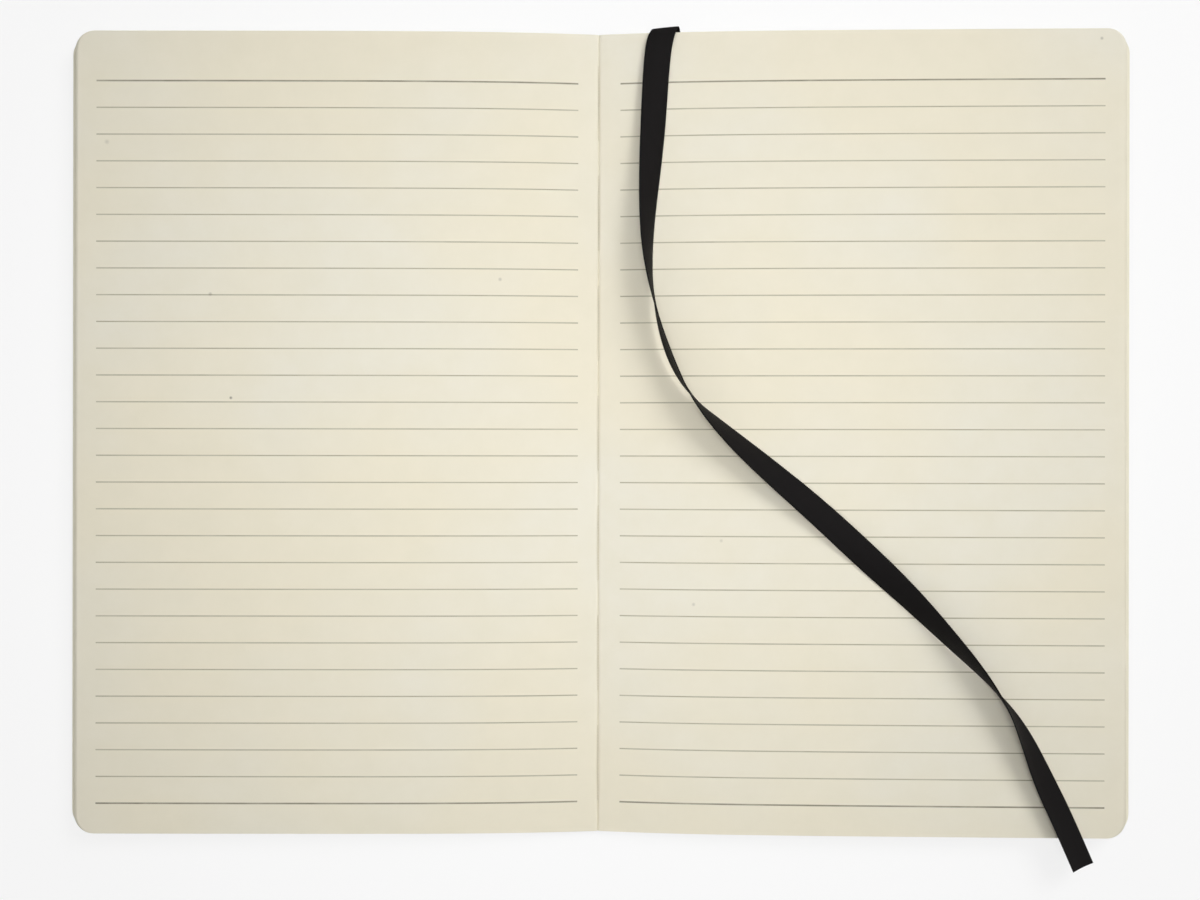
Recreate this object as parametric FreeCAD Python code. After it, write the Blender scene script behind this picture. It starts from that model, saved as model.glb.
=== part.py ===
import FreeCAD, Part
import math
import os

os.makedirs("parts", exist_ok=True)

Vector = FreeCAD.Vector

# An open, ruled, soft-cover notebook lying flat, with a ribbon marker.
# X runs across the spread, +X over the right page. Y runs along the spine, +Y to the head.
# The origin is the middle of the spine's underside, on the table. Sizes are in millimetres.

# Trimmed size of one half
page_height = 210.0
lowest_leaf_edge = 139.6
corner_radius = 5.0

# Cover, spine and papers
cover_thickness = 0.6
endpaper_thickness = 0.2
lining_thickness = 0.2
sheet_thickness = 0.1
spine_half_width = 4.0
crease_gap = 0.3
lining_margin = 0.6
cover_edge_rounding = 0.2

# Leaves: how the open block rises out of the fold and fans at its fore-edge
leaf_gap = 0.1
swell_rise = 3.2
swell_reach = 20.4
page_slope = 0.0096
leaf_fan = 3.2
leaf_bundles = 16
block_setback = 0.5

# Sewing in the middle fold
thread_diameter = 0.4
stitch_length = 20.0
stitch_pitch = 29.0
stitches = 7

# Ribbon marker: x, y, z of its middle line, then the direction of its width seen from above,
# and how far its right edge leans up out of the level, in degrees
ribbon_width = 7.0
ribbon_thickness = 0.3
ribbon_route = [
    (18.0, 105.0, 1.3, 0, 0),
    (18.0, 106.0, 1.3, 2, 0),
    (17.3, 106.2, 4.2, 8, 0),
    (15.8, 102.6, 3.6, -7, 2),
    (15.0, 95.0, 3.8, -4, -6),
    (14.3, 82.0, 4.3, -4, -16),
    (13.5, 70.0, 5.1, -3, -33),
    (12.7, 58.0, 5.8, 0, -51),
    (12.6, 47.0, 6.3, 3, -66),
    (13.8, 36.0, 6.7, 10, -83),
    (16.2, 26.0, 6.9, 18, -97),
    (19.5, 17.0, 7.0, 26, -100),
    (24.0, 9.0, 7.2, 38, -84),
    (32.5, 0.5, 7.1, 46, -55),
    (43.5, -9.0, 6.5, 49, -32),
    (56.0, -19.5, 5.8, 48, -14),
    (69.0, -31.5, 5.6, 47, 8),
    (80.6, -42.5, 7.1, 45, 37),
    (90.1, -52.5, 8.3, 43, 58),
    (98.5, -61.5, 8.8, 41, 78),
    (105.1, -69.5, 8.9, 35, 104),
    (109.9, -78.0, 8.3, 26, 130),
    (115.2, -90.0, 7.2, 25, 153),
    (120.1, -100.0, 7.1, 24, 156),
    (125.3, -112.0, 7.0, 26, 157),
]

# Worked out from the sizes above
head = page_height / 2
hinge_edge = spine_half_width + crease_gap / 2
spine_edge = spine_half_width - crease_gap / 2
block_floor = cover_thickness + endpaper_thickness
block_edge = spine_half_width + block_setback
fold_top = cover_thickness + lining_thickness + leaf_gap + sheet_thickness
top_leaf_edge = lowest_leaf_edge - leaf_fan


def page_top(x):
    """Height of the open page at a distance x from the fold."""
    return fold_top + swell_rise * (1 - math.exp(-x / swell_reach)) + page_slope * x


def box(x0, x1, z0, z1):
    return Part.makeBox(x1 - x0, page_height, z1 - z0, Vector(x0, -head, z0))


def half_plate(inner_x, outer_x, z0, z1):
    """A sheet of one half: square at the spine, with its two outer corners cut round."""
    flat_x = outer_x - corner_radius
    flat_y = head - corner_radius
    bend = corner_radius * math.sin(math.radians(45))
    foot_arc = Part.Arc(
        Vector(flat_x, -head, z0),
        Vector(flat_x + bend, -flat_y - bend, z0),
        Vector(outer_x, -flat_y, z0),
    )
    head_arc = Part.Arc(
        Vector(outer_x, flat_y, z0),
        Vector(flat_x + bend, flat_y + bend, z0),
        Vector(flat_x, head, z0),
    )
    outline = Part.Wire([
        Part.makeLine(Vector(inner_x, -head, z0), Vector(flat_x, -head, z0)),
        foot_arc.toShape(),
        Part.makeLine(Vector(outer_x, -flat_y, z0), Vector(outer_x, flat_y, z0)),
        head_arc.toShape(),
        Part.makeLine(Vector(flat_x, head, z0), Vector(inner_x, head, z0)),
        Part.makeLine(Vector(inner_x, head, z0), Vector(inner_x, -head, z0)),
    ])
    return Part.Face(outline).extrude(Vector(0, 0, z1 - z0))


def mirrored(shape):
    return shape.mirror(Vector(0, 0, 0), Vector(1, 0, 0))


def under_page(drop):
    """Everything under the page's curve from the fold to the fore-edge, lowered by drop."""
    point_count = 9
    points = []
    for i in range(point_count):
        x = lowest_leaf_edge * (i / (point_count - 1)) ** 2
        points.append(Vector(x, -head, page_top(x) - drop))
    curve = Part.BSplineCurve()
    curve.interpolate(points)
    start = points[0]
    end = points[-1]
    low_start = Vector(start.x, -head, 0)
    low_end = Vector(end.x, -head, 0)
    outline = Part.Wire([
        curve.toShape(),
        Part.makeLine(end, low_end),
        Part.makeLine(low_end, low_start),
        Part.makeLine(low_start, start),
    ])
    return Part.Face(outline).extrude(Vector(0, page_height, 0))


def cover():
    """A soft board with its outside edge broken where it was trimmed."""
    board = half_plate(hinge_edge, lowest_leaf_edge, 0, cover_thickness)
    rim = []
    for edge in board.Edges:
        low = edge.BoundBox.ZMax < cover_thickness / 2
        if low and edge.BoundBox.XMax > hinge_edge + cover_thickness:
            rim.append(edge)
    return board.makeFillet(cover_edge_rounding, rim)


def endpaper():
    return half_plate(hinge_edge, lowest_leaf_edge, cover_thickness, block_floor)


def page_block():
    """The leaves of one half: bundles that step back up the fore-edge, under the page's curve."""
    drop = sheet_thickness + leaf_gap
    block_top = page_top(top_leaf_edge) - drop
    bundle = (block_top - block_floor) / leaf_bundles
    bundles = []
    for i in range(leaf_bundles):
        edge = lowest_leaf_edge - leaf_fan * i / leaf_bundles
        low = block_floor + bundle * i
        bundles.append(half_plate(block_edge, edge, low, low + bundle))
    stack = bundles[0].multiFuse(bundles[1:]).removeSplitter()
    return stack.common(under_page(drop))


def centre_sheet():
    """The middle sheet of the open section: one leaf each side of the sewn fold."""
    plan = half_plate(0, top_leaf_edge, 0, page_top(top_leaf_edge))
    right = under_page(0).cut(under_page(sheet_thickness)).common(plan)
    return right.fuse(mirrored(right)).removeSplitter()


def sewing_thread():
    """Stitches along the fold: each is a short straight run between two sewing holes."""
    radius = thread_diameter / 2
    height = fold_top + leaf_gap + radius
    runs = []
    for i in range(stitches):
        middle = (i - (stitches - 1) / 2) * stitch_pitch
        foot_end = Vector(0, middle - stitch_length / 2, height)
        runs.append(Part.makeCylinder(radius, stitch_length, foot_end, Vector(0, 1, 0)))
    return Part.makeCompound(runs)


def ribbon_corner(across_sign, face_sign):
    """Control points of the curve that one corner of the ribbon's section follows."""
    poles = []
    last = len(ribbon_route) - 1
    for i, (x, y, z, across, lean) in enumerate(ribbon_route):
        before = Vector(*ribbon_route[max(i - 1, 0)][:3])
        after = Vector(*ribbon_route[min(i + 1, last)][:3])
        along = (after - before).normalize()
        level = math.cos(math.radians(lean))
        side = Vector(
            level * math.cos(math.radians(across)),
            level * math.sin(math.radians(across)),
            math.sin(math.radians(lean)),
        )
        face = along.cross(side).normalize()
        corner = Vector(x, y, z)
        corner += side * (across_sign * ribbon_width / 2)
        corner += face * (face_sign * ribbon_thickness / 2)
        poles.append(corner)
    return poles


def ribbon_side(poles_a, poles_b):
    """The twisting surface between two corner curves: straight across, curved along."""
    inner_knots = len(poles_a) - 3
    surface = Part.BSplineSurface()
    surface.buildFromPolesMultsKnots(
        [poles_a, poles_b],
        [2, 2],
        [3] + [1] * inner_knots + [3],
        [0, 1],
        list(range(inner_knots + 2)),
        False,
        False,
        1,
        2,
    )
    return surface.toShape()


def bookmark_ribbon():
    """A flat woven strip that comes over the head, twists as it crosses the page and ends cut square."""
    corners = [ribbon_corner(-1, -1), ribbon_corner(1, -1), ribbon_corner(1, 1), ribbon_corner(-1, 1)]
    faces = []
    for i, corner in enumerate(corners):
        faces.append(ribbon_side(corner, corners[(i + 1) % 4]))
    for end in (0, -1):
        points = [corner[end] for corner in corners]
        faces.append(Part.Face(Part.makePolygon(points + points[:1])))
    shell = Part.Shell(faces)
    shell.sewShape()
    return Part.makeSolid(shell)


def build():
    right_cover = cover()
    right_endpaper = endpaper()
    right_block = page_block()
    lining_edge = spine_half_width - lining_margin
    return {
        "spine_cover": box(-spine_edge, spine_edge, 0, cover_thickness),
        "spine_lining": box(-lining_edge, lining_edge, cover_thickness, cover_thickness + lining_thickness),
        "front_cover": mirrored(right_cover),
        "back_cover": right_cover,
        "front_endpaper": mirrored(right_endpaper),
        "back_endpaper": right_endpaper,
        "left_pages": mirrored(right_block),
        "right_pages": right_block,
        "centre_sheet": centre_sheet(),
        "sewing_thread": sewing_thread(),
        "bookmark_ribbon": bookmark_ribbon(),
    }


for name, shape in build().items():
    shape.exportStep("parts/" + name + ".step")
    size = shape.BoundBox
    print(name, "valid", shape.isValid(), "solids", len(shape.Solids), "volume", round(shape.Volume, 1),
          "low", round(size.ZMin, 2), "high", round(size.ZMax, 2))
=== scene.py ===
import math
import random

import bpy
import numpy as np
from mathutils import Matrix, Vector


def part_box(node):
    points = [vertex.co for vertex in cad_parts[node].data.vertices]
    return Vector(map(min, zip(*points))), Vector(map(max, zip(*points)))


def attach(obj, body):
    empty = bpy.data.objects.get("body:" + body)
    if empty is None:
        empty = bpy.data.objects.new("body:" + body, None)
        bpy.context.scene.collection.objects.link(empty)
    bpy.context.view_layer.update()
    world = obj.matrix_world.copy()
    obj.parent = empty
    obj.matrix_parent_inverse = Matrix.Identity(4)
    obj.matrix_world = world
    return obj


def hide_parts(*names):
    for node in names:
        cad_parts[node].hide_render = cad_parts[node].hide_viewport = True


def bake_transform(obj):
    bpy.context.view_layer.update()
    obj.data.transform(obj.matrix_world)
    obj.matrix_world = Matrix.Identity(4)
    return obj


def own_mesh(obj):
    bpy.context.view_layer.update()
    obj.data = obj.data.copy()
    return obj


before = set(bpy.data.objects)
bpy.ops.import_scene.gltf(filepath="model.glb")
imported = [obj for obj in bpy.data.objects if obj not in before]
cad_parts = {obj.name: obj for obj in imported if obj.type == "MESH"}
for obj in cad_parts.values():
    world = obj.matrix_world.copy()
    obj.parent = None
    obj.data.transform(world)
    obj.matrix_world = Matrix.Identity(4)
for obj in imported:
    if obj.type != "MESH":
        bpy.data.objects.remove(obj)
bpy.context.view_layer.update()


# Ribbon marker. A flat strip of black polyester, woven with a fine rib across it and a firm edge.
# It is glued inside the spine at the head, comes over the head edge and lies loosely across the
# right page, turning on itself three times, with its end cut square past the foot.
mm = 0.001
ribbon_width = 7.0
ribbon_thickness = 0.3
ribbon_rib_pitch = 0.5
ribbon_warp_pitch = 0.25
ribbon_weave_depth = 0.04
ribbon_fibre_patch = 1 / 3
ribbon_rib_height = 0.05
ribbon_edge_loop = 0.06
ribbon_edge_thinning = 0.4
ribbon_cup = 0.35
ribbon_cup_start = 20.0
ribbon_columns = 14
ribbon_colour = "#151313"
# Painted shade for the valleys of the weave, mixed into the ribbon's colour
ribbon_valley_shade_colour = "#090909"
# x, y, z of its middle line, the direction of its width seen from above, and how far its right
# edge leans up out of the level, in millimetres and degrees
ribbon_route = [
    (18.0, 105.0, 1.3, 0, 0),
    (18.0, 106.0, 1.3, 2, 0),
    (17.3, 106.2, 4.2, 8, 0),
    (15.8, 102.6, 3.6, -7, 2),
    (15.0, 95.0, 3.8, -4, -6),
    (14.3, 82.0, 4.3, -4, -16),
    (13.5, 70.0, 5.1, -3, -33),
    (12.7, 58.0, 6.2, 0, -51),
    (12.6, 47.0, 7.1, 3, -66),
    (13.8, 36.0, 7.8, 10, -83),
    (16.2, 26.0, 8.2, 18, -97),
    (19.5, 17.0, 8.3, 26, -100),
    (24.0, 9.0, 8.1, 38, -84),
    (32.5, 0.5, 7.5, 46, -55),
    (43.5, -9.0, 6.5, 49, -32),
    (56.0, -19.5, 5.8, 48, -14),
    (69.0, -31.5, 5.6, 47, 8),
    (80.6, -42.5, 7.1, 45, 37),
    (90.1, -52.5, 8.3, 43, 58),
    (98.5, -61.5, 8.8, 41, 78),
    (105.1, -69.5, 8.9, 35, 104),
    (109.9, -78.0, 8.3, 26, 130),
    (115.2, -90.0, 7.2, 25, 153),
    (120.1, -100.0, 7.1, 24, 156),
    (125.3, -112.0, 7.0, 14, 157),
]


def linear(hex_colour):
    """An sRGB hex colour as the linear colour that a shader takes."""
    channels = [int(hex_colour[i:i + 2], 16) / 255 for i in (1, 3, 5)]
    return [c / 12.92 if c <= 0.04045 else ((c + 0.055) / 1.055) ** 2.4 for c in channels] + [1]


def add(material, kind, inputs, **settings):
    """Adds a node with its settings. Each input is a value, or the output of another node."""
    node = material.node_tree.nodes.new(kind)
    for name, value in settings.items():
        setattr(node, name, value)
    for socket, value in inputs.items():
        if isinstance(value, bpy.types.NodeSocket):
            material.node_tree.links.new(value, node.inputs[socket])
        else:
            node.inputs[socket].default_value = value
    return node


def new_material(name):
    material = bpy.data.materials.new(name)
    material.use_nodes = True
    material.node_tree.nodes.clear()
    return material


def finish_material(material, shader):
    add(material, "ShaderNodeOutputMaterial", {"Surface": shader.outputs[0]})
    return material


def new_piece(name, vertices, faces, uvs, materials, face_materials=None):
    """A mesh object from vertices and their flat coordinates, both in millimetres."""
    mesh = bpy.data.meshes.new(name)
    mesh.from_pydata([tuple(c * mm for c in v) for v in vertices], [], faces)
    for material in materials:
        mesh.materials.append(material)
    if face_materials is not None:
        mesh.polygons.foreach_set("material_index", face_materials)
    layer = mesh.uv_layers.new(name="flat_mm")
    corners = np.zeros(len(mesh.loops), np.int32)
    mesh.loops.foreach_get("vertex_index", corners)
    layer.uv.foreach_set("vector", np.array(uvs, np.float32)[corners].ravel())
    mesh.polygons.foreach_set("use_smooth", [True] * len(mesh.polygons))
    mesh.update()
    piece = bpy.data.objects.new(name, mesh)
    bpy.context.scene.collection.objects.link(piece)
    return piece


def woven_polyester():
    """Woven polyester: ribs across the strip, with painted shade in the weave, and the soft sheen of its
    yarn.
    """
    cloth = new_material("woven_black_polyester")
    flat = add(cloth, "ShaderNodeUVMap", {}, uv_map="flat_mm").outputs[0]
    place = add(cloth, "ShaderNodeSeparateXYZ", {0: flat})
    along = place.outputs[0]
    across = place.outputs[1]
    # Warp yarns run along the strip and ribs cross it. Their weave gives the bump and a painted shade: the
    # colour goes towards the valley colour where the weave is high.
    turn = 2 * math.pi
    warp = add(cloth, "ShaderNodeMath", {0: across, 1: turn / ribbon_warp_pitch}, operation="MULTIPLY")
    warp_wave = add(cloth, "ShaderNodeMath", {0: warp.outputs[0]}, operation="SINE")
    rib = add(cloth, "ShaderNodeMath", {0: along, 1: turn / ribbon_rib_pitch}, operation="MULTIPLY")
    rib_wave = add(cloth, "ShaderNodeMath", {0: rib.outputs[0]}, operation="SINE")
    weave = add(
        cloth, "ShaderNodeMath", {0: warp_wave.outputs[0], 1: rib_wave.outputs[0]}, operation="MULTIPLY",
    )
    shade = add(cloth, "ShaderNodeMapRange", {0: weave.outputs[0], 1: -1.0, 2: 1.0, 3: 0.0, 4: 1.0})
    # Loose fibres cover the weave in small patches, which scale the painted shade there.
    fibres = add(
        cloth, "ShaderNodeTexNoise", {"Vector": flat, "Scale": 1 / ribbon_fibre_patch, "Detail": 3.0},
    )
    fibre = add(cloth, "ShaderNodeMapRange", {0: fibres.outputs[0], 1: 0.35, 2: 0.75, 3: 0.0, 4: 0.6})
    weave_shade_amount = add(
        cloth, "ShaderNodeMath", {0: shade.outputs[0], 1: fibre.outputs[0]}, operation="MULTIPLY",
    )
    colour = add(
        cloth, "ShaderNodeMix",
        {0: weave_shade_amount.outputs[0], 6: linear(ribbon_colour), 7: linear(ribbon_valley_shade_colour)},
        data_type="RGBA",
    )
    bump = add(cloth, "ShaderNodeBump", {
        "Height": weave.outputs[0], "Strength": 0.5, "Distance": ribbon_weave_depth * mm,
    })
    yarn = add(cloth, "ShaderNodeBsdfPrincipled", {
        "Base Color": colour.outputs[2],
        "Normal": bump.outputs[0],
        "Roughness": 0.6,
        "IOR": 1.45,
        "Specular IOR Level": 0.07,
    })
    return finish_material(cloth, yarn)


def along_spline(points, resolution=48):
    """Points read from the smooth line that these control points give, in millimetres."""
    curve = bpy.data.curves.new("route", "CURVE")
    curve.dimensions = "3D"
    curve.resolution_u = resolution
    spline = curve.splines.new("NURBS")
    spline.points.add(len(points) - 1)
    for control, point in zip(spline.points, points):
        control.co = (*point, 1)
    spline.order_u = 3
    spline.use_endpoint_u = True
    spline.resolution_u = resolution
    holder = bpy.data.objects.new("route", curve)
    mesh = bpy.data.meshes.new_from_object(holder)
    line = np.array([v.co for v in mesh.vertices], float)
    bpy.data.meshes.remove(mesh)
    bpy.data.objects.remove(holder)
    bpy.data.curves.remove(curve)
    return line


def unit(vectors):
    return vectors / np.linalg.norm(vectors, axis=-1, keepdims=True)


# The middle line and the two edges follow splines of their own, which share their spacing.
middle_points = [Vector(row[:3]) for row in ribbon_route]
sides = []
for x, y, z, across, lean in ribbon_route:
    level = math.cos(math.radians(lean))
    sides.append(Vector((
        level * math.cos(math.radians(across)),
        level * math.sin(math.radians(across)),
        math.sin(math.radians(lean)),
    )))
ribbon_middle = along_spline(middle_points)
ribbon_left = along_spline([p - s * ribbon_width / 2 for p, s in zip(middle_points, sides)])
ribbon_right = along_spline([p + s * ribbon_width / 2 for p, s in zip(middle_points, sides)])

# Rows half a rib apart, so that each rib has a crest and a valley
steps = np.linalg.norm(np.diff(ribbon_middle, axis=0), axis=1)
travelled = np.concatenate([[0], np.cumsum(steps)])
ribbon_length = travelled[-1]
ribbon_rows = int(ribbon_length / (ribbon_rib_pitch / 2)) + 1
row_places = np.linspace(0, ribbon_length, ribbon_rows)


def at_rows(line):
    return np.stack([np.interp(row_places, travelled, line[:, k]) for k in range(3)], axis=1)


middle_rows = at_rows(ribbon_middle)
side_rows = unit(at_rows(ribbon_right) - at_rows(ribbon_left))
along_rows = unit(np.gradient(middle_rows, axis=0))
face_rows = unit(np.cross(along_rows, side_rows))

vertices = []
uvs = []
for i in range(ribbon_rows):
    crest = 1 if i % 2 else -1
    half_width = ribbon_width / 2 - ribbon_edge_loop + crest * ribbon_edge_loop
    rib_top = ribbon_thickness / 2 - ribbon_rib_height / 2 + crest * ribbon_rib_height / 2
    # Away from the fold at the head, the strip is slightly cupped across its width.
    cup = ribbon_cup * min(1, row_places[i] / ribbon_cup_start)
    for sign in (1, -1):
        for j in range(ribbon_columns + 1):
            # Once round the section: out along the front face and back along the other.
            share = 2 * j / ribbon_columns - 1
            # The woven edge is rounder and a little thinner than the body of the strip.
            half_thickness = rib_top * math.sqrt(1 - ribbon_edge_thinning * abs(share) ** 8)
            point = middle_rows[i] + side_rows[i] * share * half_width * sign
            vertices.append(point + face_rows[i] * (half_thickness * sign + cup * (1 - share ** 2)))
            uvs.append((row_places[i], share * sign * ribbon_width / 2 + ribbon_width))
ring = 2 * (ribbon_columns + 1)
faces = []
for i in range(ribbon_rows - 1):
    for j in range(ring):
        after = (j + 1) % ring
        faces.append((i * ring + j, i * ring + after, (i + 1) * ring + after, (i + 1) * ring + j))
faces.append(tuple(reversed(range(ring))))
faces.append(tuple((ribbon_rows - 1) * ring + j for j in range(ring)))
ribbon = new_piece("ribbon_marker", vertices, faces, uvs, [woven_polyester()])
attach(ribbon, "back_half")
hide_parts("bookmark_ribbon")
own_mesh(ribbon)


# Cover. One piece of soft card under a thin coat of matt black polyurethane, pressed with a fine leather
# grain, scored at the two creases beside the spine and cut flush with the leaves. It is made here in two
# halves that meet in the middle of the spine.
lowest_leaf_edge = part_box("back_cover")[1].x / mm
half_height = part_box("back_cover")[1].y / mm
cover_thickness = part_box("back_cover")[1].z / mm
crease_x = 4.0
corner_radius = 5.0
corner_steps = 10
cover_edge_round = 0.2
cover_score_depth = 0.12
cover_score_width = 0.9
cover_pebble_size = 0.7
cover_hair_size = 0.25
cover_grain_depth = 0.12
cover_handled_size = 12
cover_colour = "#19191b"
cover_handled_colour = "#26262a"


def coated_card():
    """Matt polyurethane on card: a dark, even coat with small pebbles that break up its soft gloss."""
    card = new_material("grained_black_polyurethane")
    flat = add(card, "ShaderNodeUVMap", {}, uv_map="flat_mm").outputs[0]
    pebbles = add(
        card, "ShaderNodeTexVoronoi", {"Vector": flat, "Scale": 1 / cover_pebble_size, "Randomness": 0.9},
        feature="SMOOTH_F1",
    )
    hair = add(card, "ShaderNodeTexNoise", {"Vector": flat, "Scale": 1 / cover_hair_size, "Detail": 3.0})
    patches = add(
        card, "ShaderNodeTexNoise", {"Vector": flat, "Scale": 1 / cover_handled_size, "Detail": 6.0},
    )
    height = add(
        card, "ShaderNodeMath", {0: hair.outputs[0], 1: 0.25, 2: pebbles.outputs["Distance"]},
        operation="MULTIPLY_ADD",
    )
    bump = add(card, "ShaderNodeBump", {
        "Height": height.outputs[0], "Strength": 0.35, "Distance": cover_grain_depth * mm,
    })
    handled = add(card, "ShaderNodeMapRange", {0: patches.outputs[0], 1: 0.35, 2: 0.7, 3: 0.0, 4: 0.5})
    colour = add(
        card, "ShaderNodeMix",
        {0: handled.outputs[0], 6: linear(cover_colour), 7: linear(cover_handled_colour)},
        data_type="RGBA",
    )
    gloss = add(card, "ShaderNodeMapRange", {0: patches.outputs[0], 1: 0.3, 2: 0.7, 3: 0.66, 4: 0.6})
    coat = add(card, "ShaderNodeBsdfPrincipled", {
        "Base Color": colour.outputs[2],
        "Normal": bump.outputs[0],
        "Roughness": gloss.outputs[0],
        "IOR": 1.49,
        "Specular IOR Level": 0.35,
    })
    return finish_material(card, coat)


def rounded_reach(reach, place, edge):
    """How far out a sheet goes at a place on its way to an edge that has round corners."""
    past = max(0.0, place - (edge - corner_radius))
    return reach - corner_radius + math.sqrt(max(0.0, corner_radius ** 2 - past ** 2))


def corner_places(edge):
    """Places past the start of a round corner, closer together towards the edge."""
    turns = [math.radians(90 * i / corner_steps) for i in range(corner_steps + 1)]
    return [edge - corner_radius + corner_radius * math.sin(turn) for turn in turns]


def sheet_faces(across, up, side):
    """Faces of a closed sheet, from the points of its lower face and then those of its upper one."""
    layer = across * up
    faces = []
    for i in range(across - 1):
        for j in range(up - 1):
            a = i * up + j
            faces.append((a, a + 1, a + up + 1, a + up))
            faces.append((layer + a, layer + a + up, layer + a + up + 1, layer + a + 1))
    for i in range(across - 1):
        a = i * up
        faces.append((a, a + up, layer + a + up, layer + a))
        a += up - 1
        faces.append((a, layer + a, layer + a + up, a + up))
    for j in range(up - 1):
        faces.append((j, layer + j, layer + j + 1, j + 1))
        a = (across - 1) * up + j
        faces.append((a, a + 1, layer + a + 1, layer + a))
    if side < 0:
        faces = [tuple(reversed(face)) for face in faces]
    return faces


def closed_sheet(columns, rows, low, high, side):
    """A closed sheet on columns across and rows from foot to head. Side is 1 for the right half.

    Low and high give the heights of its two faces, and rows hold shares of the half height.
    """
    edge = columns[-1]
    vertices = []
    uvs = []
    for face_height in (low, high):
        for x in columns:
            reach = rounded_reach(half_height, x, edge)
            for share in rows:
                y = share * reach
                vertices.append((side * x, y, face_height(x, y)))
                uvs.append((side * x, y))
    return vertices, sheet_faces(len(columns), len(rows), side), uvs


def cover_half(name, side, node):
    """Half of the cover, from the middle of the spine to the fore-edge."""
    # Places across are close together at the score and at the round corners.
    near_crease = [crease_x + d for d in np.linspace(-1.6, 1.6, 17)]
    columns = [0, 0.8, 1.6, *near_crease, 8, 14, 22, 32, 44, 58, 74, 90, 106, 120, 130]
    columns += corner_places(lowest_leaf_edge)
    rows = np.linspace(-1, 1, 31)

    def inside(x, y):
        return cover_thickness

    def outside(x, y):
        score = cover_score_depth * math.exp(-(((x - crease_x) / cover_score_width) ** 2))
        from_edge = min(lowest_leaf_edge - x, half_height - abs(y))
        rounding = cover_edge_round * max(0.0, 1 - from_edge / cover_edge_round) ** 2
        return score + rounding

    vertices, faces, uvs = closed_sheet(columns, rows, outside, inside, side)
    piece = new_piece(name, vertices, faces, uvs, [cover_material])
    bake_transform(piece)
    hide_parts(node, "spine_cover")


cover_material = coated_card()
cover_half("front_cover_skin", -1, "front_cover")
cover_half("back_cover_skin", 1, "back_cover")


# Spine lining. A strip of open cotton mull glued along the inside of the spine, which holds the
# sewn sections to the cover.
mull_colour = "#d9d2bd"
mull_thread_pitch = 1.2
mull_thread_depth = 0.1


def cotton_mull():
    """Open cotton weave under dried glue: a coarse grid of pale threads with little gloss."""
    mull = new_material("glued_cotton_mull")
    place = add(mull, "ShaderNodeTexCoord", {}).outputs["Object"]
    axes = add(mull, "ShaderNodeSeparateXYZ", {0: place})
    waves = []
    for axis in (0, 1):
        turn = add(
            mull, "ShaderNodeMath", {0: axes.outputs[axis], 1: 2 * math.pi / (mull_thread_pitch * mm)},
            operation="MULTIPLY",
        )
        waves.append(add(mull, "ShaderNodeMath", {0: turn.outputs[0]}, operation="SINE").outputs[0])
    grid = add(mull, "ShaderNodeMath", {0: waves[0], 1: waves[1]}, operation="MAXIMUM")
    shade = add(mull, "ShaderNodeMapRange", {0: grid.outputs[0], 1: -1.0, 2: 1.0, 3: 0.75, 4: 1.0})
    colour = add(
        mull, "ShaderNodeMix", {0: 1.0, 6: linear(mull_colour), 7: shade.outputs[0]},
        data_type="RGBA", blend_type="MULTIPLY",
    )
    bump = add(mull, "ShaderNodeBump", {
        "Height": grid.outputs[0], "Strength": 0.5, "Distance": mull_thread_depth * mm,
    })
    fibre = add(mull, "ShaderNodeBsdfPrincipled", {
        "Base Color": colour.outputs[2], "Normal": bump.outputs[0], "Roughness": 0.85,
    })
    return finish_material(mull, fibre)


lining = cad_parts["spine_lining"]
lining.data.materials.clear()
lining.data.materials.append(cotton_mull())


# Endpapers. One sheet of heavier cream cartridge paper pasted down inside each cover.
endpaper_cloud_size = 5
endpaper_tooth_size = 0.35
endpaper_tooth_depth = 0.05
endpaper_colour = "#e6dfca"


def cartridge_paper():
    """Heavy uncoated paper: toothy and matt, with a faint cloudy look-through."""
    paper = new_material("cream_cartridge_paper")
    place = add(paper, "ShaderNodeTexCoord", {}).outputs["Object"]
    cloud_scale = 1 / (endpaper_cloud_size * mm)
    tooth_scale = 1 / (endpaper_tooth_size * mm)
    cloud = add(paper, "ShaderNodeTexNoise", {"Vector": place, "Scale": cloud_scale, "Detail": 4.0})
    tooth = add(paper, "ShaderNodeTexNoise", {"Vector": place, "Scale": tooth_scale, "Detail": 2.0})
    shade = add(paper, "ShaderNodeMapRange", {0: cloud.outputs[0], 1: 0.3, 2: 0.7, 3: 0.95, 4: 1.0})
    colour = add(
        paper, "ShaderNodeMix", {0: 1.0, 6: linear(endpaper_colour), 7: shade.outputs[0]},
        data_type="RGBA", blend_type="MULTIPLY",
    )
    bump = add(paper, "ShaderNodeBump", {
        "Height": tooth.outputs[0], "Strength": 0.2, "Distance": endpaper_tooth_depth * mm,
    })
    fibre = add(paper, "ShaderNodeBsdfPrincipled", {
        "Base Color": colour.outputs[2], "Normal": bump.outputs[0], "Roughness": 0.8,
    })
    return finish_material(paper, fibre)


endpaper_material = cartridge_paper()
for node in ("front_endpaper", "back_endpaper"):
    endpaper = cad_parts[node]
    endpaper.data.materials.clear()
    endpaper.data.materials.append(endpaper_material)


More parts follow.
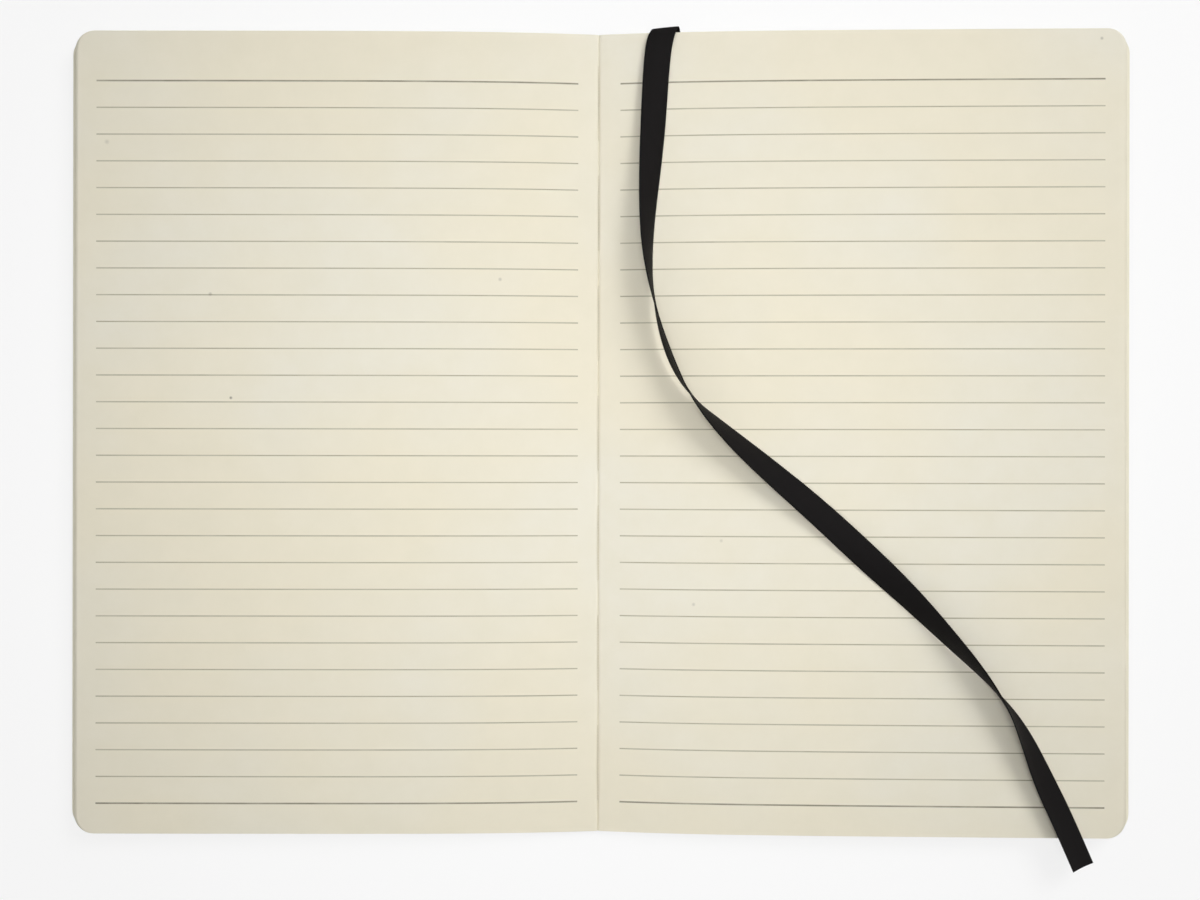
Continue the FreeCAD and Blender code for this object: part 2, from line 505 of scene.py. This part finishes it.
# Leaves. Uncoated cream writing paper, folded into sections of eight leaves, sewn, and trimmed
# with the covers. Lying open, each half fans out at its fore-edge, so that every leaf shows an
# edge, and its top swells up out of the fold.
leaf_count = 48
leaves_in_section = 8
leaf_fan = 2.75
leaf_share_filled = 0.96
leaf_edge_play = 0.07
leaf_ripple_height = 0.06
leaf_ripple_length = 22
section_gap_share = 0.25
block_start = 4.2
block_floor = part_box("back_endpaper")[1].z / mm
sheet_thickness = 0.1
fold_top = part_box("centre_sheet")[0].z / mm + sheet_thickness
swell_rise = 3.2
swell_reach = 20.4
page_slope = 0.0096
under_top_sheet = 0.2
cut_fibre_size = 2.5
cut_tooth_size = 0.3
cut_tooth_depth = 0.03
leaf_tone_spread = 0.5
# Painted shade added to the first leaf of each section, at the gap between sections
section_gap_shade = 0.25
leaf_pattern_shift = 7
leaf_colour = "#efead8"
# Painted shade between the stepped leaf edges, towards which each leaf's edge is mixed
leaf_shadow_colour = "#dcd8c4"


def page_top(x):
    """Height of the open page at a distance x from the fold."""
    return fold_top + swell_rise * (1 - math.exp(-x / swell_reach)) + page_slope * x


def cut_paper():
    """Edges of writing paper: matt, each leaf a little lighter or darker than the next, with painted shade
    between the leaves and more of it on the first leaf of each section.
    """
    paper = new_material("cut_cream_writing_paper")
    flat = add(paper, "ShaderNodeUVMap", {}, uv_map="flat_mm").outputs[0]
    tone = add(paper, "ShaderNodeAttribute", {}, attribute_name="leaf_tone_and_shade").outputs["Fac"]
    fibres = add(paper, "ShaderNodeTexNoise", {"Vector": flat, "Scale": 1 / cut_fibre_size, "Detail": 4.0})
    mixed = add(
        paper, "ShaderNodeMath", {0: fibres.outputs[0], 1: 0.3, 2: tone}, operation="MULTIPLY_ADD",
    )
    colour = add(
        paper, "ShaderNodeMix",
        {0: mixed.outputs[0], 6: linear(leaf_colour), 7: linear(leaf_shadow_colour)},
        data_type="RGBA",
    )
    tooth = add(paper, "ShaderNodeTexNoise", {"Vector": flat, "Scale": 1 / cut_tooth_size, "Detail": 2.0})
    bump = add(paper, "ShaderNodeBump", {
        "Height": tooth.outputs[0], "Strength": 0.2, "Distance": cut_tooth_depth * mm,
    })
    fibre = add(paper, "ShaderNodeBsdfPrincipled", {
        "Base Color": colour.outputs[2], "Normal": bump.outputs[0], "Roughness": 0.85,
    })
    return finish_material(paper, fibre)


def leaf_stack(name, side, body, node, seed):
    """All the leaves of one half, each a closed sheet of its own that follows the swell."""
    draw = random.Random(seed)
    vertices = []
    faces = []
    uvs = []
    tones = []
    rows = np.linspace(-1, 1, 9)
    for k in range(leaf_count):
        edge = lowest_leaf_edge - leaf_fan * k / leaf_count - draw.random() * leaf_edge_play
        wave = draw.uniform(-1, 1)
        phase = draw.uniform(0, 2 * math.pi)
        opens_section = k % leaves_in_section == 0
        filled = leaf_share_filled - (section_gap_share if opens_section else 0)
        # Places across are close together where the block swells and at the round corners.
        columns = [block_start, 6, 8, 10.5, 14, 18, 23, 29, 36, 45, 56, 70, 88, 108, 124]
        columns += corner_places(edge)

        def underside(x, y):
            room = page_top(x) - under_top_sheet - block_floor
            wave_here = leaf_ripple_height * wave * math.sin(y / leaf_ripple_length + phase)
            ripple = wave_here * (x / lowest_leaf_edge) ** 2
            share = k / leaf_count
            lift = ripple * math.sin(math.pi * share) * (1 - share)
            return block_floor + room * share + lift

        def top(x, y):
            room = page_top(x) - under_top_sheet - block_floor
            return underside(x, y) + room / leaf_count * filled

        leaf_vertices, leaf_faces, leaf_uvs = closed_sheet(columns, rows, underside, top, side)
        offset = len(vertices)
        vertices += leaf_vertices
        faces += [tuple(offset + v for v in face) for face in leaf_faces]
        uvs += [(u + leaf_pattern_shift * k, v) for u, v in leaf_uvs]
        # A random tone for each leaf, plus painted shade on the first leaf of a section
        tone = draw.uniform(0, leaf_tone_spread) + (section_gap_shade if opens_section else 0)
        tones += [tone] * len(leaf_vertices)
    stack = new_piece(name, vertices, faces, uvs, [leaf_material])
    attribute = stack.data.attributes.new("leaf_tone_and_shade", "FLOAT", "POINT")
    attribute.data.foreach_set("value", tones)
    stack.data.polygons.foreach_set("use_smooth", [False] * len(stack.data.polygons))
    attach(stack, body)
    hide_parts(node)


leaf_material = cut_paper()
leaf_stack("left_leaves", -1, "front_half", "left_pages", 11)
leaf_stack("right_leaves", 1, "back_half", "right_pages", 23)


# Open pages. The middle sheet of its section: cream writing paper printed with 28 grey rules 7 mm apart,
# the first and last heavier, folded once and sewn through the fold. The sheet is made here in two halves
# that meet in the fold.
rule_count = 28
rule_pitch = 7.0
top_rule_y = 91.92
rule_width = 0.32
heavy_rule_width = 0.42
rule_outer_end = 131.35
left_rule_inner_end = 5.4
right_rule_inner_end = 5.7
ruled_columns = 40
ruled_columns_start = 7.0
margin_columns = 6
top_leaf_edge = lowest_leaf_edge - leaf_fan
# The sheet stands up in a small shoulder on both sides of the fold, and is a little cockled.
shoulder_height = 0.35
shoulder_start = 0.3
shoulder_reach = 6.0
cockle_height = 0.05
cockle_start = 30
cockle_across = 37
cockle_up = 31
page_patch_size = 70
page_cloud_size = 9
# Fibres are drawn 0.5 mm wide, coarser than real ones, so that they show.
page_tooth_size = 0.5
page_tooth_depth = 0.03
page_colour = "#eae3ce"
page_cloud_colour = "#e2dcc6"
page_cool_colour = "#e8e4d5"
rule_colour = "#ada78e"
heavy_rule_colour = "#8b8670"
# Small puckers where the thread pulls at a sewing hole: x, y, depth and width
puckers = [(-3.4, -79.6, 0.16, 1.3), (3.0, -80.0, -0.2, 1.2)]
# Specks of bark and dark fibre caught in the paper: x, y, width and how dark they are
specks = [
    (-96.1, 9.0, 0.8, 0.75),
    (-101.5, 36.1, 0.9, 0.35),
    (-25.8, 40.2, 0.9, 0.3),
    (-128.6, 75.9, 1.2, 0.2),
    (130.4, 102.4, 0.8, 0.4),
    (25.0, -44.9, 0.9, 0.25),
    (32.2, -28.2, 0.9, 0.2),
]
speck_colour = "#5c594a"


def writing_paper(name, base_colour, cloud_colour, cool_colour):
    """Uncoated cream writing paper: matt, with broad cool patches, soft clouds and a few specks."""
    paper = new_material(name)
    flat = add(paper, "ShaderNodeUVMap", {}, uv_map="flat_mm").outputs[0]
    patches = add(
        paper, "ShaderNodeTexNoise", {"Vector": flat, "Scale": 1 / page_patch_size, "Detail": 2.0},
    )
    cool = add(paper, "ShaderNodeMapRange", {0: patches.outputs[0], 1: 0.42, 2: 0.62, 3: 0.0, 4: 0.8})
    colour = add(
        paper, "ShaderNodeMix",
        {0: cool.outputs[0], 6: linear(base_colour), 7: linear(cool_colour)},
        data_type="RGBA",
    )
    cloud = add(paper, "ShaderNodeTexNoise", {
        "Vector": flat, "Scale": 1 / page_cloud_size, "Detail": 5.0, "Roughness": 0.6,
    })
    shade = add(paper, "ShaderNodeMapRange", {0: cloud.outputs[0], 1: 0.35, 2: 0.7, 3: 0.0, 4: 0.35})
    colour = add(
        paper, "ShaderNodeMix",
        {0: shade.outputs[0], 6: colour.outputs[2], 7: linear(cloud_colour)},
        data_type="RGBA",
    )
    for x, y, width, darkness in specks:
        # Each speck has a ragged outline, which the noise gives to its distance.
        apart = add(paper, "ShaderNodeVectorMath", {0: flat, 1: (x, y, 0)}, operation="DISTANCE")
        ragged = add(
            paper, "ShaderNodeMath", {0: cloud.outputs[0], 1: width / 2, 2: apart.outputs["Value"]},
            operation="MULTIPLY_ADD",
        )
        cover = add(
            paper, "ShaderNodeMapRange",
            {0: ragged.outputs[0], 1: width * 0.4, 2: width * 0.9, 3: darkness, 4: 0.0},
        )
        colour = add(
            paper, "ShaderNodeMix",
            {0: cover.outputs[0], 6: colour.outputs[2], 7: linear(speck_colour)},
            data_type="RGBA",
        )
    tooth = add(paper, "ShaderNodeTexNoise", {"Vector": flat, "Scale": 1 / page_tooth_size, "Detail": 3.0})
    bump = add(paper, "ShaderNodeBump", {
        "Height": tooth.outputs[0], "Strength": 0.12, "Distance": page_tooth_depth * mm,
    })
    fibre = add(paper, "ShaderNodeBsdfPrincipled", {
        "Base Color": colour.outputs[2], "Normal": bump.outputs[0], "Roughness": 0.8,
    })
    return finish_material(paper, fibre)


def open_page(name, side, rule_inner_end):
    """One open page with its rules as fields of ink in the sheet's own surface."""
    # Places across are close together at the fold and at the round corners of the fore-edge.
    columns = [0, 0.12, 0.25, 0.4, 0.6, 0.85, 1.15, 1.5, 2, 2.6, 3.3, 4.1, 4.8, rule_inner_end]
    ruled = rule_outer_end - ruled_columns_start
    columns += [ruled_columns_start + ruled * (i / ruled_columns) ** 1.3 for i in range(ruled_columns)]
    columns.append(rule_outer_end)
    margin = top_leaf_edge - rule_outer_end
    columns += [rule_outer_end + margin * i / margin_columns for i in range(1, margin_columns + 1)]

    # Each rule lies between two rows of its own, with two more on the way to the next rule.
    corner_rows = corner_places(half_height)
    rows = [-y for y in reversed(corner_rows)]
    ink_above_row = {}
    for i in reversed(range(rule_count)):
        middle = top_rule_y - i * rule_pitch
        heavy = i in (0, rule_count - 1)
        width = heavy_rule_width if heavy else rule_width
        last = rows[-1]
        rows += [last + (middle - width / 2 - last) * s for s in (1 / 3, 2 / 3)]
        ink_above_row[len(rows)] = 2 if heavy else 1
        rows += [middle - width / 2, middle + width / 2]
    last = rows[-1]
    rows += [last + (corner_rows[0] - last) * s for s in (1 / 3, 2 / 3)]
    rows += corner_rows

    def top(x, y):
        shoulder = shoulder_height * (1 - math.exp(-x / shoulder_start)) * math.exp(-x / shoulder_reach)
        pull = 0
        for px, py, depth, width in puckers:
            if px * side > 0:
                pull += depth * math.exp(-((x - abs(px)) ** 2 + (y - py) ** 2) / width ** 2)
        waves = math.sin(y / cockle_up + side) * math.sin(x / cockle_across)
        return page_top(x) + shoulder + pull + cockle_height * waves * min(1, x / cockle_start)

    vertices = []
    uvs = []
    for drop in (sheet_thickness, 0):
        for column in columns:
            for y in rows:
                x = column
                if column > rule_outer_end:
                    share = (column - rule_outer_end) / margin
                    edge = rounded_reach(top_leaf_edge, abs(y), half_height)
                    x = rule_outer_end + (edge - rule_outer_end) * share
                vertices.append((side * x, y, top(x, y) - drop))
                uvs.append((side * x, y))
    faces = sheet_faces(len(columns), len(rows), side)

    # Inks are places in page_materials: bare paper, a rule and a heavy rule.
    first_ink = columns.index(rule_inner_end)
    last_ink = columns.index(rule_outer_end)
    inks = []
    for i in range(len(columns) - 1):
        for j in range(len(rows) - 1):
            ink = ink_above_row.get(j, 0) if first_ink <= i < last_ink else 0
            inks += [ink, ink]
    inks += [0] * (len(faces) - len(inks))
    page = new_piece(name, vertices, faces, uvs, page_materials, inks)
    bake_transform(page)
    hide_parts("centre_sheet")


page_materials = [
    writing_paper("cream_writing_paper", page_colour, page_cloud_colour, page_cool_colour),
    writing_paper("grey_ruling_ink_on_paper", rule_colour, page_cloud_colour, rule_colour),
    writing_paper("heavy_ruling_ink_on_paper", heavy_rule_colour, page_cloud_colour, heavy_rule_colour),
]
open_page("left_page", -1, left_rule_inner_end)
open_page("right_page", 1, right_rule_inner_end)


# Sewing thread. Waxed linen, two plies twisted together, stitched along the fold from hole to
# hole: each stitch comes up through the sheet, lies along the fold and goes down again.
thread_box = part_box("sewing_thread")
thread_height = (thread_box[0].z + thread_box[1].z) / 2 / mm
ply_radius = 0.09
ply_offset = 0.08
ply_sides = 6
# Pulled tight against the sheet, the twist is a little flatter than it is wide.
ply_flatness = 0.9
twist_pitch = 1.6
stitch_length = 20.0
stitch_pitch = 29.0
stitch_dip = 0.35
stitch_dip_reach = 0.5
stitch_steps = 101
stitches = 7
linen_fibre_size = 1 / 6
thread_colour = "#e3dcc6"


def waxed_linen():
    """Waxed linen thread: pale, slightly glossy plies with short fibres along them."""
    linen = new_material("waxed_linen_thread")
    flat = add(linen, "ShaderNodeUVMap", {}, uv_map="flat_mm").outputs[0]
    fibre = add(linen, "ShaderNodeTexNoise", {"Vector": flat, "Scale": 1 / linen_fibre_size, "Detail": 3.0})
    shade = add(linen, "ShaderNodeMapRange", {0: fibre.outputs[0], 1: 0.3, 2: 0.7, 3: 0.85, 4: 1.0})
    colour = add(
        linen, "ShaderNodeMix", {0: 1.0, 6: linear(thread_colour), 7: shade.outputs[0]},
        data_type="RGBA", blend_type="MULTIPLY",
    )
    ply = add(linen, "ShaderNodeBsdfPrincipled", {
        "Base Color": colour.outputs[2], "Roughness": 0.6, "Sheen Weight": 0.1,
    })
    return finish_material(linen, ply)


vertices = []
faces = []
uvs = []
for s in range(stitches):
    middle = (s - (stitches - 1) / 2) * stitch_pitch
    places = np.linspace(-stitch_length / 2, stitch_length / 2, stitch_steps)
    for ply in (0, math.pi):
        offset = len(vertices)
        for y in places:
            turn = 2 * math.pi * y / twist_pitch + ply
            near_hole = math.exp(-(stitch_length / 2 - abs(y)) / stitch_dip_reach)
            centre_x = ply_offset * math.cos(turn)
            centre_z = thread_height + ply_offset * math.sin(turn) * ply_flatness - stitch_dip * near_hole
            for i in range(ply_sides):
                angle = 2 * math.pi * i / ply_sides
                vertices.append((
                    centre_x + ply_radius * math.cos(angle),
                    middle + y,
                    centre_z + ply_radius * math.sin(angle),
                ))
                uvs.append((ply_radius * angle + ply, middle + y))
        for i in range(stitch_steps - 1):
            for j in range(ply_sides):
                after = (j + 1) % ply_sides
                a = offset + i * ply_sides
                faces.append((a + j, a + ply_sides + j, a + ply_sides + after, a + after))
        faces.append(tuple(offset + j for j in range(ply_sides)))
        last = offset + (stitch_steps - 1) * ply_sides
        faces.append(tuple(last + j for j in reversed(range(ply_sides))))
thread = new_piece("linen_stitches", vertices, faces, uvs, [waxed_linen()])
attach(thread, "spine")
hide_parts("sewing_thread")


# Stage. A white floor under soft lamps: a large softbox up to the right, which throws the
# ribbon's shadow to the lower left, and an even white surround.
floor_size = 6
floor_white = 0.9
# Up to shadow_reach from the middle the floor keeps its shadow, with near_glow as the share of
# plain white mixed in. From shadow_end on it is plain white. Both are in metres.
near_glow = 0.75
shadow_reach = 0.18
shadow_end = 0.45
surround_strength = 0.41
key_place = (0.47, 0.481, 0.636)
key_power = 3.5
key_size = 0.4
overhead_place = (-0.03, -0.01, 0.62)
overhead_power = 0.11
overhead_size = 0.25
overhead_spread = math.radians(41)
# In millimetres and degrees, worked out from the ends of the ruled lines
camera_place = (3.70, -4.47, 309.15)
camera_turn = (-0.0054, 0.606, 0.0897)
camera_lens = 35


def background_rays(material):
    """1 for rays that see the background, straight, in a gloss or through glass, and 0 for others."""
    rays = add(material, "ShaderNodeLightPath", {}).outputs
    straight = add(
        material, "ShaderNodeMath", {0: rays["Is Camera Ray"], 1: rays["Is Glossy Ray"]},
        operation="MAXIMUM",
    )
    either = add(
        material, "ShaderNodeMath", {0: straight.outputs[0], 1: rays["Is Transmission Ray"]},
        operation="MAXIMUM",
    )
    return either.outputs[0]


def matt_white():
    """White matt paint: evenly bright and with no gloss, so that only the object's shadow shows."""
    paint = new_material("matt_white_paint")
    place = add(paint, "ShaderNodeTexCoord", {}).outputs["Object"]
    distance = add(paint, "ShaderNodeVectorMath", {0: place}, operation="LENGTH")
    glow_here = add(
        paint, "ShaderNodeMapRange",
        {0: distance.outputs["Value"], 1: shadow_reach, 2: shadow_end, 3: near_glow, 4: 1.0},
    )
    glow_share = add(
        paint, "ShaderNodeMath", {0: glow_here.outputs[0], 1: background_rays(paint)},
        operation="MULTIPLY",
    )
    matt = add(paint, "ShaderNodeBsdfDiffuse", {"Color": (floor_white, floor_white, floor_white, 1)})
    glow = add(paint, "ShaderNodeEmission", {"Color": (1, 1, 1, 1), "Strength": 1.0})
    surface = add(
        paint, "ShaderNodeMixShader", {0: glow_share.outputs[0], 1: matt.outputs[0], 2: glow.outputs[0]},
    )
    return finish_material(paint, surface)


bpy.ops.mesh.primitive_plane_add(size=floor_size)
floor = bpy.context.object
floor.name = "floor"
floor.data.materials.append(matt_white())

world = bpy.data.worlds.new("white_surround")
bpy.context.scene.world = world
world.use_nodes = True
world.node_tree.nodes.clear()
strength = add(
    world, "ShaderNodeMapRange", {0: background_rays(world), 1: 0.0, 2: 1.0, 3: surround_strength, 4: 1.0},
)
light = add(world, "ShaderNodeBackground", {"Color": (1, 1, 1, 1), "Strength": strength.outputs[0]})
add(world, "ShaderNodeOutputWorld", {"Surface": light.outputs[0]})


def softbox(name, place, power, size, spread=math.pi):
    lamp = bpy.data.lights.new(name, "AREA")
    lamp.energy = power
    lamp.size = size
    lamp.spread = spread
    holder = bpy.data.objects.new(name, lamp)
    holder.location = place
    holder.rotation_euler = (-Vector(place)).to_track_quat("-Z", "Y").to_euler()
    bpy.context.scene.collection.objects.link(holder)


softbox("key_softbox", key_place, key_power, key_size)
softbox("overhead_softbox", overhead_place, overhead_power, overhead_size, overhead_spread)

# The camera looks almost straight down.
camera_data = bpy.data.cameras.new("camera")
camera_data.sensor_width = 36
camera_data.lens = camera_lens
camera_data.clip_start = 0.01
camera = bpy.data.objects.new("camera", camera_data)
camera.location = [c * mm for c in camera_place]
camera.rotation_euler = [math.radians(turn) for turn in camera_turn]
bpy.context.scene.collection.objects.link(camera)
bpy.context.scene.camera = camera
bpy.context.scene.view_settings.view_transform = "Standard"
